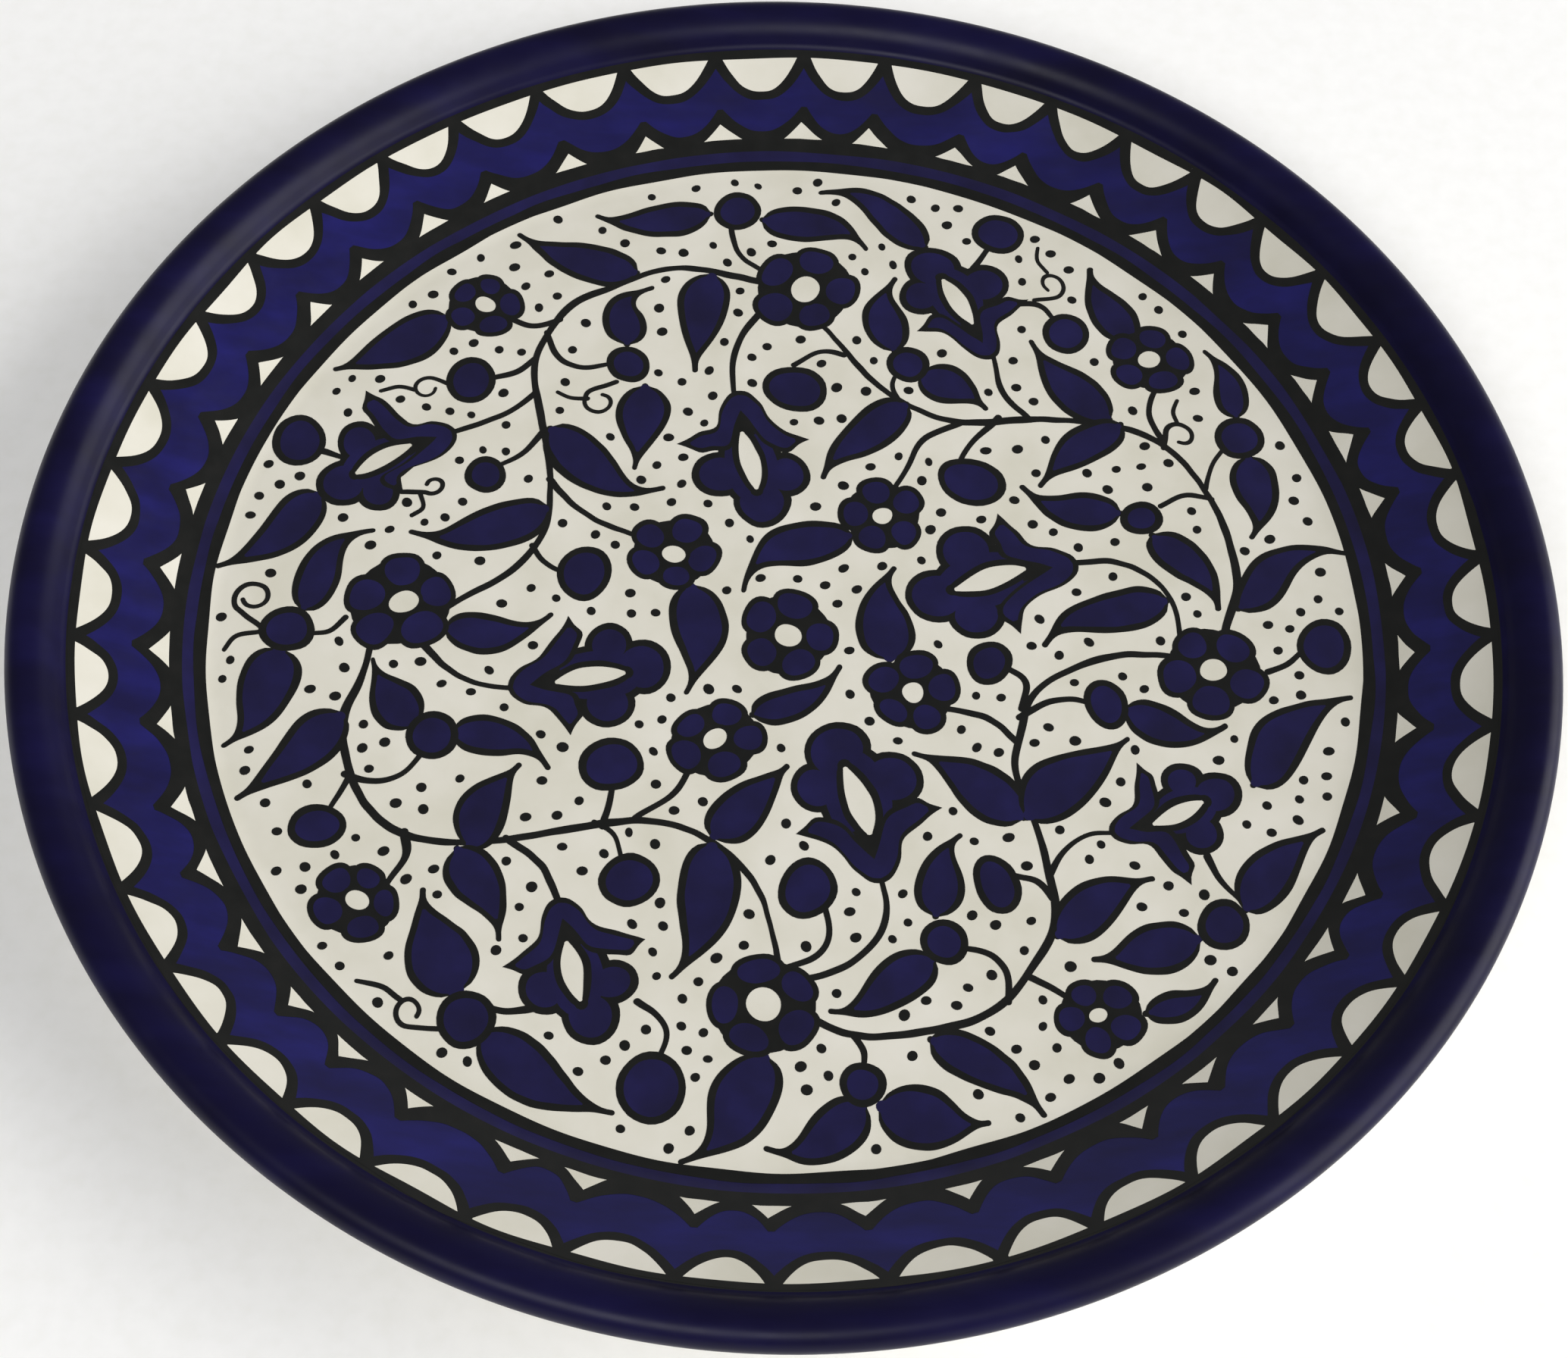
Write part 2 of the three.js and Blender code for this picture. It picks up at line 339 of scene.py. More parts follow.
# Each leaf: its base, the middle of its broadest part, its tip and its width.
LEAVES = [
    ((-30.5, 74.5), (-40.5, 76), (-53, 81.5), 8.5),
    ((-64.5, 62), (-71.5, 56), (-84, 49.5), 9),
    ((-17, 74.5), (-18, 68.5), (-18.5, 53), 9),
    ((-44, 38.5), (-38.5, 31.5), (-23, 27.5), 9),
    ((-43, 22), (-52, 17), (-67, 15.5), 8.5),
    ((-83.5, 22.5), (-89, 14.5), (-99, 6.5), 8.5),
    ((-17, 7.5), (-15, 0), (-16.5, -14), 9),
    ((-18, 88.5), (-26.5, 86.5), (-39, 87), 7.5),
    ((-8, 88), (-1.5, 88.5), (11.5, 82), 7.5),
    ((-31.5, 58), (-33.5, 63), (-27.5, 71), 7),
    ((-28, 49), (-27.5, 43), (-28.5, 31.5), 8.5),
    ((-84, -1.5), (-82.5, 6), (-73.5, 15.5), 7.5),
    ((-86.5, -9.5), (-87.5, -17), (-93.5, -28.5), 9.5),
    ((23, 83.5), (16.5, 90), (2.5, 95), 7.5),
    ((61, 64), (56.5, 71), (53.5, 80), 7),
    ((56.5, 46.5), (49, 53.5), (42.5, 63), 8),
    ((58.5, 45.5), (52, 40.5), (43.5, 31.5), 7.5),
    ((20, 47.5), (13, 41.5), (5.5, 31), 8),
    ((10.5, 19), (-0.5, 16), (-7.5, 6.5), 8),
    ((18, -5.5), (16.5, 2), (18, 12.5), 9),
    ((66.5, 8.5), (58, 7), (44.5, -1.5), 8),
    ((78.5, 8), (84.5, 15.5), (98, 20), 7),
    ((17.5, 59.5), (15.5, 65), (17, 75.5), 7.5),
    ((22.5, 54.5), (27.5, 52.5), (34, 47.5), 7.5),
    ((79.5, 48.5), (79, 53.5), (74.5, 62.5), 6.5),
    ((81.5, 40), (83, 34.5), (82, 23), 7.5),
    ((58.5, 26.5), (52, 26), (40.5, 31), 7.5),
    ((64, 22), (69, 18), (75.5, 7.5), 7),
    ((-59, -4), (-53, -5), (-41.5, 0), 7.5),
    ((-74.5, -21.5), (-80.5, -29), (-90, -38.5), 8.5),
    ((-51, -45.5), (-48.5, -38), (-44, -29.5), 8.5),
    ((-53.5, -46), (-49, -51), (-44.5, -62), 8.5),
    ((-10.5, -41.5), (-6.5, -36.5), (1, -27.5), 8),
    ((-10.5, -42.5), (-10, -51.5), (-16, -67), 9),
    ((-0.5, -80), (-2, -87), (-12, -98.5), 9.5),
    ((-5.5, -18), (0, -16.5), (10, -8), 6),
    ((-62, -23), (-65.5, -19.5), (-70.5, -10.5), 8),
    ((-55.5, -24.5), (-49, -24), (-39, -29.5), 7),
    ((-50, -72), (-53.5, -66.5), (-57.5, -54), 10.5),
    ((-45.5, -79), (-38, -85), (-24.5, -91), 9),
    ((41, -35), (33.5, -29), (22.5, -24), 8.5),
    ((41.5, -35), (48, -28.5), (59, -19), 9.5),
    ((47, -56.5), (53.5, -50.5), (63, -45), 8.5),
    ((80, -27), (85, -18), (97.5, -9), 9),
    ((26.5, -76.5), (35.5, -80), (45, -87.5), 8),
    ((61, -69.5), (65.5, -68.5), (73, -63), 5),
    ((27, -54), (27, -48), (31, -39), 7.5),
    ((26.5, -61.5), (21.5, -66.5), (10, -71.5), 8),
    ((78, -50.5), (82.5, -43.5), (91.5, -34.5), 8),
    ((70, -55.5), (64, -58), (53, -60.5), 8.5),
    ((19, -87.5), (24, -89.5), (36, -90), 9.5),
    ((16.5, -87.5), (12, -92.5), (0.5, -96), 8),
    ((59, -13), (65.5, -16.5), (75.5, -16), 7),
]

# The four long scrolls, each from one flower to the next.
SCROLLS = [
    [
        (-8.5, 74), (-19, 75.5), (-28.5, 74.5), (-43, 65), (-48, 51.5), (-45, 38), (-42.5, 23), (-47, 10),
        (-57.5, 1.5),
    ],
    [
        (-70.5, -6.5), (-74.5, -21.5), (-71.5, -33.5), (-62, -44), (-45, -44), (-30.5, -40), (-13.5, -40.5),
        (-2, -51.5), (0.5, -61.5),
    ],
    [
        (7.5, -73.5), (14.5, -75.5), (31.5, -73.5), (45.5, -58.5), (45.5, -45), (41, -30.5), (40.5, -22),
        (44, -10), (56.5, -2.5), (66.5, -2.5),
    ],
    [
        (77, 4), (78.5, 18), (74, 31.5), (65, 42), (52, 46), (30.5, 44.5), (22, 46.5), (14.5, 51), (4.5, 63),
    ],
]

# The short stems that leave a scroll or a flower.
BRANCHES = [
    [(-8, 65.5), (-10.5, 61), (-12, 55), (-11.5, 48.5)],
    [(-13.5, 85), (-12, 79.5), (-7, 76)],
    [(-53, 62.5), (-49, 61), (-45.5, 62)],
    [(-46, 59), (-43.5, 54), (-39, 52), (-35, 53)],
    [(-48.5, 53), (-51, 50.5), (-54.5, 49.5)],
    [(-48, 45.5), (-52, 41.5), (-61.5, 37)],
    [(-45.5, 37), (-48, 33), (-51, 31.5)],
    [(-42.5, 27), (-38.5, 22), (-33, 18.5), (-27, 17)],
    [(-45, 13.5), (-43, 10.5), (-40, 9)],
    [(-84.5, 31.5), (-82.5, 31)],
    [(-76.5, -3), (-78.5, -5.5), (-81.5, -6)],
    [(-62.5, -7), (-58, -12), (-53, -14.5), (-47, -14.5)],
    [(-72, -33), (-68, -34), (-63.5, -32.5), (-61, -29)],
    [(-72, -33.5), (-73, -37), (-74, -39)],
    [(-62, -44), (-61, -48), (-63, -52)],
    [(-43.5, -44), (-38.5, -48), (-35.5, -54)],
    [(-29, -39.5), (-28, -37), (-28, -34)],
    [(-30, -40), (-27, -41.5), (-26, -45.5)],
    [(-22.5, -38.5), (-18, -34.5), (-15, -29)],
    [(-39, -74), (-42, -75), (-45.5, -74)],
    [(-20.5, -72.5), (-17, -75), (-16, -78), (-17, -81)],
    [(3, -64), (8, -61.5), (10, -58.5), (9, -54.5)],
    [(7, -65.5), (13.5, -63), (17.5, -59), (19, -54), (18, -48.5)],
    [(14.5, -76), (16, -77.5), (16, -80)],
    [(38.5, -67.5), (38.5, -63), (35.5, -60), (32, -59.5)],
    [(43, -64.5), (45.5, -65.5), (47, -66.5)],
    [(45.5, -49), (44, -46.5), (41.5, -46)],
    [(46, -45), (48, -41), (52, -38), (56, -37)],
    [(40, -20.5), (36.5, -17), (32, -15.5), (28.5, -15)],
    [(41.5, -13.5), (42.5, -9.5), (41, -7.5), (39, -6.5)],
    [(41.5, -15.5), (45, -13), (48.5, -12), (52, -12.5)],
    [(72, -41.5), (74, -45.5), (76, -47.5)],
    [(84, -4), (86.5, -3), (88.5, -1)],
    [(68.5, 2), (68, 7), (65, 12), (60, 15.5), (55, 16.5), (50.5, 16)],
    [(74, 30.5), (70, 31), (66.5, 29)],
    [(74, 33.5), (75, 38), (76.5, 40.5)],
    [(65.5, 43), (64, 47), (65, 52)],
    [(35.5, 45), (32.5, 41.5), (31, 37)],
    [(29, 44), (23.5, 40), (20, 34), (18, 30.5)],
    [(41.5, 46), (37.5, 50.5), (35.5, 58)],
    [(18.5, 48), (17, 51.5), (18, 54)],
    [(7, 58), (3.5, 59), (0.5, 56.5)],
    [(31.5, 80), (33, 82.5)],
    [(40.5, 71.5), (44, 71.5), (46, 69)],
]

# The tendrils' curls: each one's start, its centre and radius, and its spiral's first direction and sweep.
CURLS = [
    ((-63.5, 47.5), (-67, 46), 2.6, 65, 290),
    ((-34, 49), (-35.5, 45), 3, 130, 300),
    ((-68, 23.5), (-63.5, 25), 2, 230, 290),
    ((43.5, 72.5), (46.5, 76), 2.9, -75, 300),
    ((66, 41.5), (69.5, 43.5), 3, 185, -290),
    ((-90, -5.5), (-92.5, 0.5), 3.4, 245, -400),
    ((-53, -78), (-58, -75), 2.8, 270, -300),
]

# The short tails that leave the curls.
TAILS = [
    [(-69.5, 45.5), (-72, 46), (-74.5, 45)],
    [(-38, 45.5), (-41, 45.5), (-43, 46.5)],
    [(-65.5, 23), (-65, 20.5), (-67, 19)],
    [(46, 79), (44.5, 81), (44.5, 84)],
    [(69, 46.5), (68.5, 48.5), (69, 51)],
    [(-90.5, -6.5), (-94, -7.5), (-96, -10)],
    [(-60, -73), (-63, -71), (-66.5, -70.5)],
]


# ---- painting in the plan

CURVE_STEP = 0.6 * MM
SCROLL_WIDTH = 1.45 * MM
SCROLL_EASE = 4 * MM
BRANCH_WIDTH = 1.2 * MM
BRANCH_EASE = 2.4 * MM
TENDRIL_WIDTH = 0.95 * MM
TENDRIL_EASE = 0.7 * MM
TENDRIL_OVERLAP = 0.3 * MM
STEM_LEAD = 0.9 * MM
STEM_OVERLAP = 1.6 * MM
STEM_TAPER = 0.2
UNEVENNESS = 0.16
QUICK_SWELL = 4.5 * MM
SLOW_SWELL = 9.7 * MM
OUTLINE = 1.3 * MM
INK_SINK = 0.03 * MM
INK_LIFT = 0.04 * MM

# A wave's phase is drawn from about a whole turn.
PAINT_SEED = 46
WANDER_SEED = 11
WANDER_WAVES = 7
ANY_PHASE = (0, 6.3)


def make_wander(seed, wavelength, amount):
    """A slow drift of the plan, as a hand strays from a drawn line. It moves points by up to about amount."""
    rng = random.Random(seed)
    waves = []
    for _ in range(WANDER_WAVES):
        heading = rng.uniform(0, 2 * math.pi)
        length = wavelength * rng.uniform(0.7, 1.5)
        reach = amount / math.sqrt(WANDER_WAVES)
        push = reach * complex(math.cos(rng.uniform(*ANY_PHASE)), math.sin(rng.uniform(*ANY_PHASE)))
        wave = complex(math.cos(heading), math.sin(heading)) * 2 * math.pi / length
        waves.append((wave, rng.uniform(*ANY_PHASE), push))

    def wander(points):
        drift = np.zeros(len(points), complex)
        for wave, phase, push in waves:
            drift += push * np.sin(points.real * wave.real + points.imag * wave.imag + phase)
        return points + drift

    return wander


slow_wander = make_wander(WANDER_SEED, 22 * MM, 0.45 * MM)
quick_wander = make_wander(WANDER_SEED + 1, 4.5 * MM, 0.08 * MM)


def hand_drawn(points):
    """Both drifts together, for the well's freely drawn motifs."""
    return quick_wander(slow_wander(points))


def spot(position):
    """A point of the well from its position in hundredths of the well's radius."""
    return complex(*position) * WELL_RADIUS / 100


def share(hundredths):
    """A length from hundredths of the well's radius."""
    return hundredths * WELL_RADIUS / 100


def smooth_curve(knots):
    """A smooth line (a Catmull-Rom spline) through the knots, closely and evenly sampled."""
    knots = np.array(knots)
    padded = np.concatenate([[2 * knots[0] - knots[1]], knots, [2 * knots[-1] - knots[-2]]])
    stretches = []
    for before, start, end, after in zip(padded, padded[1:], padded[2:], padded[3:]):
        steps = max(2, math.ceil(abs(end - start) / CURVE_STEP))
        t = np.linspace(0, 1, steps, endpoint=False)
        squared = 2 * before - 5 * start + 4 * end - after
        cubed = 3 * (start - end) + after - before
        bend = squared * t**2 + cubed * t**3
        stretches.append(start + ((end - before) * t + bend) / 2)
    return np.concatenate([*stretches, knots[-1:]])


def relaxed(path, reach):
    """The same line with its small bends evened out over about reach, and its ends where they were."""
    for _ in range(int((reach / CURVE_STEP) ** 2)):
        path[1:-1] = 0.25 * path[:-2] + 0.5 * path[1:-1] + 0.25 * path[2:]
    return path


def evenly_spaced(path, count):
    """The same line as count points an equal way apart."""
    along = np.concatenate([[0], np.cumsum(np.abs(np.diff(path)))])
    return np.interp(np.linspace(0, along[-1], count), along, path)


def headings(path):
    """The direction of a line at each of its points, as a complex number of size 1."""
    step = np.gradient(path)
    return step / np.abs(step)


def brush_stroke(path, half_width):
    """The outline of a stroke of varying width, with round ends."""
    half_width = np.broadcast_to(half_width, path.shape)
    heading = headings(path)
    side = 1j * heading * half_width
    sweep = np.exp(1j * np.linspace(-RIGHT_ANGLE, RIGHT_ANGLE, 7)[1:-1])
    end_cap = path[-1] + heading[-1] * half_width[-1] * sweep
    start_cap = path[0] - heading[0] * half_width[0] * sweep
    return np.concatenate([path - side, end_cap, (path + side)[::-1], start_cap])


def uneven(path, rng):
    """How a stroke's width swells and thins along it, around 1."""
    along = np.cumsum(np.abs(np.gradient(path)))
    quick = np.sin(along / QUICK_SWELL + rng.uniform(*ANY_PHASE))
    slow = np.sin(along / SLOW_SWELL + rng.uniform(*ANY_PHASE))
    return 1 + UNEVENNESS * (quick + slow) / 2


def oval(centre, half_length, half_width, heading=1 + 0j, egg=0.0, roundness=1.0, count=30):
    """An oval with its length along heading. Egg broadens its far end, and a roundness under 1 squares it."""
    turn = np.linspace(0, 2 * math.pi, count, endpoint=False)
    along = np.sign(np.cos(turn)) * np.abs(np.cos(turn)) ** roundness
    across = np.sign(np.sin(turn)) * np.abs(np.sin(turn)) ** roundness * (1 + egg * along)
    return centre + heading * (half_length * along + 1j * half_width * across)


class Painting:
    """Shapes in the order in which they are painted. Each has a layer and covers the ones before it."""

    def __init__(self, unsteadiness):
        self.unsteadiness = unsteadiness
        self.shapes = []

    def paint(self, layer, outline):
        outline = np.asarray(outline)
        if signed_area(outline) < 0:
            outline = outline[::-1]
        self.shapes.append((layer, self.unsteadiness(outline)))


def signed_area(outline):
    return 0.5 * np.sum(outline.real * np.roll(outline.imag, -1) - np.roll(outline.real, -1) * outline.imag)


# ---- the motifs of the well

LEAF_BREADTH = 0.54
LEAF_TAIL = 0.62 * MM
LEAF_TAIL_THINNING = 0.12 * MM
LEAF_UNEVENNESS = 0.2
THINNEST_FILL = 0.12 * MM

BERRY_TILT = 0.3
BERRY_LUMP = 0.05

FLOWER_DISC = 0.86
HEART_FLATNESS = 0.86
PETALS = 5
PETAL_OUTLINE = 1.0 * MM
HEART_OUTLINE = PETAL_OUTLINE * 0.8
PETAL_EGG = 0.1
PETAL_ROUNDNESS = 0.93

# The tulip is drawn in lengths of the flower: along its axis from the joint, and across it as the imaginary
# part. Each lobe is a centre and a radius. Each edge of a calyx arm is some points counted from the joint and
# then some counted from the arm's tip.
TULIP_MIDDLE = 0.54
TULIP_HALF_LENGTH = 0.33
TULIP_HALF_BREADTH = 0.215
TULIP_EGG = 0.1
TULIP_LOBES = [(0.59 - 0.205j, 0.17), (0.83 + 0.03j, 0.185), (0.65 + 0.205j, 0.155)]
ARM_EDGES = [
    ([0, 0.02 + 0.058j, 0.11 + 0.124j, 0.23 + 0.166j], [-0.08 - 0.15j, -0.04 - 0.085j, 0]),
    ([0.18, 0.275 + 0.045j, 0.41 + 0.11j], [0.07 - 0.2j, 0.085 - 0.13j, 0.035 - 0.07j, 0]),
]
ARM_EASE = 0.9 * MM
TULIP_WEDGE = [0.17, 0.275 - 0.05j, 0.34 - 0.07j, 0.34 + 0.07j, 0.275 + 0.05j]
ALMOND_ENDS = (0.29 - 0.015j, 0.735 + 0.005j)
ALMOND_HALF_WIDTH = 0.064


def paint_stem(painting, path, width, rng, lead=STEM_LEAD, overlap=STEM_OVERLAP):
    """A stem along a path. It runs on a little at both ends, under the strokes and motifs that it joins."""
    heading = headings(path)
    path = np.concatenate([[path[0] - heading[0] * lead], path, [path[-1] + heading[-1] * overlap]])
    taper = 1 - STEM_TAPER * np.linspace(0, 1, len(path))
    painting.paint("stems", brush_stroke(path, width / 2 * uneven(path, rng) * taper))


def curl(start, centre, radius, first, sweep):
    """The knots of a line that winds in to a spiral. Its first direction and its sweep are in degrees."""
    t = np.linspace(0, 1, 14)
    turn = np.radians(first + sweep * t)
    spiral = complex(*centre) + radius * (1 - 0.5 * t) * np.exp(1j * turn)
    return [start, *((knot.real, knot.imag) for knot in spiral)]


def paint_leaf(painting, base, belly, tip, width, rng):
    """A leaf bulges from its base, bends most beyond its middle, and draws to a thin inked tail."""
    base, belly, tip = spot(base), spot(belly), spot(tip)
    across = (tip - base) / abs(tip - base) * 1j
    lean = ((belly - base) * across.conjugate()).real
    t = np.linspace(0, 1, 34)
    bend = t * (1 - t) * (0.3 + t) / 0.19
    fullness = t**0.5 * (1 - t) * (1 - t**5) / 0.375
    spine = base + (tip - base) * t + across * lean * bend
    tail = LEAF_TAIL - LEAF_TAIL_THINNING * t
    swell = 1 + LEAF_UNEVENNESS * (uneven(spine, rng) - 1)
    edge = np.hypot(share(width) * LEAF_BREADTH * fullness, tail) * swell
    painting.paint("leaf_outlines", brush_stroke(spine, edge))
    inside = edge - OUTLINE
    filled = np.flatnonzero(inside > THINNEST_FILL)
    painting.paint("leaf_fills", brush_stroke(spine[filled], inside[filled]))


def paint_berry(painting, centre, half_width, half_height, rng):
    """A berry is an inked oval, a little tilted and lumpy."""
    tilt = np.exp(1j * rng.uniform(-BERRY_TILT, BERRY_TILT))
    size = np.array([share(half_width), share(half_height)])
    lump = rng.uniform(-BERRY_LUMP, BERRY_LUMP)
    painting.paint("berry_outlines", oval(spot(centre), *size, tilt, lump))
    painting.paint("berry_fills", oval(spot(centre), *(size - OUTLINE), tilt, lump))


def paint_flower(painting, centre, radius, heart, turn, rng):
    """Five full petals about a cream heart, each petal and the heart ringed with ink."""
    centre, radius, heart = spot(centre), share(radius), share(heart)
    petals = []
    for k in range(PETALS):
        heading = np.exp(1j * (math.radians(turn + 360 / PETALS * k) + rng.uniform(-0.08, 0.08)))
        inner_end = heart + HEART_OUTLINE
        outer_end = radius * rng.uniform(0.94, 1.06) - PETAL_OUTLINE
        middle = (inner_end + outer_end) / 2
        room = middle * math.sin(math.pi / PETALS) - PETAL_OUTLINE * 0.45
        petals.append((centre + heading * middle, outer_end - middle, room * rng.uniform(0.9, 1.06), heading))

    def paint_petals(layer, margin):
        for place, half_length, half_breadth, heading in petals:
            size = half_length + margin, half_breadth + margin
            painting.paint(layer, oval(place, *size, heading, PETAL_EGG, PETAL_ROUNDNESS))

    disc = radius * FLOWER_DISC
    painting.paint("flower_outlines", oval(centre, disc, disc))
    paint_petals("flower_outlines", PETAL_OUTLINE)
    paint_petals("flower_fills", 0)
    tilt = np.exp(1j * rng.uniform(0, math.pi))
    middle = centre + radius * 0.03 * complex(rng.uniform(-1, 1), rng.uniform(-1, 1))
    heart_size = np.array([heart, heart * HEART_FLATNESS])
    painting.paint("flower_outlines", oval(middle, *(heart_size + HEART_OUTLINE), tilt))
    painting.paint("bare", oval(middle, *heart_size, tilt))


def calyx_arm(joint, axis, tip):
    """The outer and the inner edge of one arm of a tulip's calyx, from the tulip's axis to the arm's tip."""
    tip = (tip - joint) / axis
    hand = math.copysign(1, tip.imag)
    tip = complex(tip.real, abs(tip.imag))
    edges = []
    for from_joint, from_tip in ARM_EDGES:
        knots = np.array([*from_joint, *(tip + step for step in from_tip)])
        edge = evenly_spaced(relaxed(smooth_curve(knots * abs(axis)), ARM_EASE), 26)
        edges.append(joint + axis / abs(axis) * (edge.real + 1j * hand * edge.imag))
    return edges


def paint_tulip(painting, joint, far_end, wing, other_wing):
    """A side view of a bloom: three lobes, a calyx of two arms over them, and a bare almond between."""
    joint, far_end = spot(joint), spot(far_end)
    axis = far_end - joint
    length = abs(axis)
    middle = joint + axis * TULIP_MIDDLE
    body = np.array([TULIP_HALF_LENGTH, TULIP_HALF_BREADTH]) * length
    lobes = [(joint + axis * place, size * length) for place, size in TULIP_LOBES]
    painting.paint("tulip_outlines", oval(middle, *body, axis / length, TULIP_EGG))
    for centre, radius in lobes:
        painting.paint("tulip_outlines", oval(centre, radius, radius))
    for centre, radius in lobes:
        painting.paint("tulip_fills", oval(centre, radius - OUTLINE, radius - OUTLINE))
    painting.paint("tulip_fills", oval(middle, *(body - OUTLINE), axis / length, TULIP_EGG))

    arms = [calyx_arm(joint, axis, spot(tip)) for tip in (wing, other_wing)]
    for outer, inner in arms:
        painting.paint("tulip_outlines", np.concatenate([outer, inner[-2::-1]]))
    for outer, inner in arms:
        half_width = np.abs(outer - inner) / 2
        filled = np.flatnonzero(half_width > PETAL_OUTLINE * 1.1)
        spine = ((outer + inner) / 2)[filled]
        across = (outer[filled] - spine) * (1 - PETAL_OUTLINE / half_width[filled])
        painting.paint("tulip_fills", np.concatenate([spine + across, (spine - across)[::-1]]))
    painting.paint("tulip_outlines", [joint + axis * corner for corner in TULIP_WEDGE])

    near, far = (joint + axis * end for end in ALMOND_ENDS)
    t = np.linspace(0, 1, 20)
    almond = near + (far - near) * t
    opening = ALMOND_HALF_WIDTH * length * np.sin(math.pi * t) ** 0.8
    painting.paint("tulip_outlines", brush_stroke(almond, opening + OUTLINE * 0.95))
    painting.paint("bare", brush_stroke(almond[1:-1], opening[1:-1]))


def paint_scrolls(painting, rng):
    """All stems and tendrils. They go first, so that every motif covers the ends that reach under it."""
    def stem_path(knots, ease):
        return relaxed(smooth_curve([spot(knot) for knot in knots]), ease)

    for knots in SCROLLS:
        paint_stem(painting, stem_path(knots, SCROLL_EASE), SCROLL_WIDTH, rng, lead=STEM_OVERLAP)
    for knots in BRANCHES:
        paint_stem(painting, stem_path(knots, BRANCH_EASE), BRANCH_WIDTH, rng)
    for tendril in CURLS:
        path = stem_path(curl(*tendril), TENDRIL_EASE)
        paint_stem(painting, path, TENDRIL_WIDTH, rng, overlap=TENDRIL_OVERLAP)
    for knots in TAILS:
        path = stem_path(knots, TENDRIL_EASE)
        paint_stem(painting, path, TENDRIL_WIDTH, rng, TENDRIL_OVERLAP, TENDRIL_OVERLAP)


DOT_SPACING = 3.9 * MM
DOT_CLEARANCE = 1.75 * MM
DOT_SIZE = 0.9 * MM
DOT_TRIES = 9000
WELL_MARGIN = 2.6 * MM


def paint_dots(painting, rng):
    """Small ink dots all over the bare cream, evenly spread but never in rows."""
    motif_points = np.concatenate([outline for layer, outline in painting.shapes])
    dots = []
    for _ in range(DOT_TRIES):
        reach = (WELL_RADIUS - WELL_MARGIN) * math.sqrt(rng.random())
        turn = rng.uniform(0, 2 * math.pi)
        dot = reach * complex(math.cos(turn), math.sin(turn))
        if dots and np.min(np.abs(np.array(dots) - dot)) < DOT_SPACING:
            continue
        if np.min(np.abs(motif_points - dot)) < DOT_CLEARANCE:
            continue
        if any(encloses(outline, dot) for layer, outline in painting.shapes):
            continue
        dots.append(dot)
    for dot in dots:
        size = DOT_SIZE * rng.uniform(0.9, 1.12)
        tilt = np.exp(1j * rng.uniform(0, math.pi))
        painting.paint("dots", oval(dot, size, size * rng.uniform(0.9, 1.0), tilt, count=14))


def encloses(outline, point):
    """Whether a ray from the point crosses the outline an odd number of times."""
    start, end = outline - point, np.roll(outline, -1) - point
    crossing = (start.imag > 0) != (end.imag > 0)
    start, end = start[crossing], end[crossing]
    reach = start.real - start.imag * (end.real - start.real) / (end.imag - start.imag)
    return np.count_nonzero(reach > 0) % 2 == 1


def paint_well(rng):
    painting = Painting(hand_drawn)
    paint_scrolls(painting, rng)
    for leaf in LEAVES:
        paint_leaf(painting, *leaf, rng)
    for tulip in TULIPS:
        paint_tulip(painting, *tulip)
    for flower in FLOWERS:
        paint_flower(painting, *flower, rng)
    for berry in BERRIES:
        paint_berry(painting, *berry, rng)
    paint_dots(painting, rng)
    return painting


# ---- the painted bands

ARCHES = 46
ARCH_DEPTH = 5.2 * MM
ARCH_DEPTH_GAIN = 0.16
ARCH_OUTLINE = 1.5 * MM
ARCH_TUCK = 0.8 * MM
CUSP_SPREAD = 1.05 * MM
CUSP_GAP = 1.35 * MM
TOOTH_TIP_RADIUS = OUTER_LINE_RADIUS + 5.6 * MM
TOOTH_DIP_RADIUS = OUTER_LINE_RADIUS + 1.4 * MM
TOOTH_BLUNTNESS = 0.93
TOOTH_HOLLOW = 2.1
TRIANGLE_TIP_RADIUS = OUTER_LINE_RADIUS + 2.9 * MM
TRIANGLE_HALF_WIDTH = 3.5 * MM
BORDER_SEED, INNER_LINE_SEED, OUTER_LINE_SEED = 3, 5, 8


def on_plate(radius, turn):
    return radius * np.exp(1j * turn)


def ring_sectors(painting, inner_radius, outer_radius, seed):
    """A painted ring in sectors that meet edge to edge. Its own waves make its edges uneven."""
    rng = random.Random(seed)
    waves = [(rng.randint(5, 34), rng.uniform(*ANY_PHASE), rng.uniform(0.02, 0.07) * MM) for _ in range(12)]

    def uneven_radius(radius, turn, phase):
        drift = sum(size * np.sin(count * turn + start + phase) for count, start, size in waves)
        return radius + drift

    bounds = np.linspace(0, 2 * math.pi, ARCHES + 1)
    for start, end in zip(bounds, bounds[1:]):
        turn = np.linspace(start, end, 13)
        inner = on_plate(uneven_radius(inner_radius, turn, 0), turn)
        outer = on_plate(uneven_radius(outer_radius, turn, 2), turn)
        painting.shapes.append(("ring_ink", np.concatenate([outer, inner[::-1]])))


def uneven_turns(rng, count, jitter):
    """Directions round the plate with uneven gaps that add up to a whole turn."""
    gaps = np.array([rng.uniform(1 - jitter, 1 + jitter) for _ in range(count)])
    return np.cumsum(gaps) / gaps.sum() * 2 * math.pi


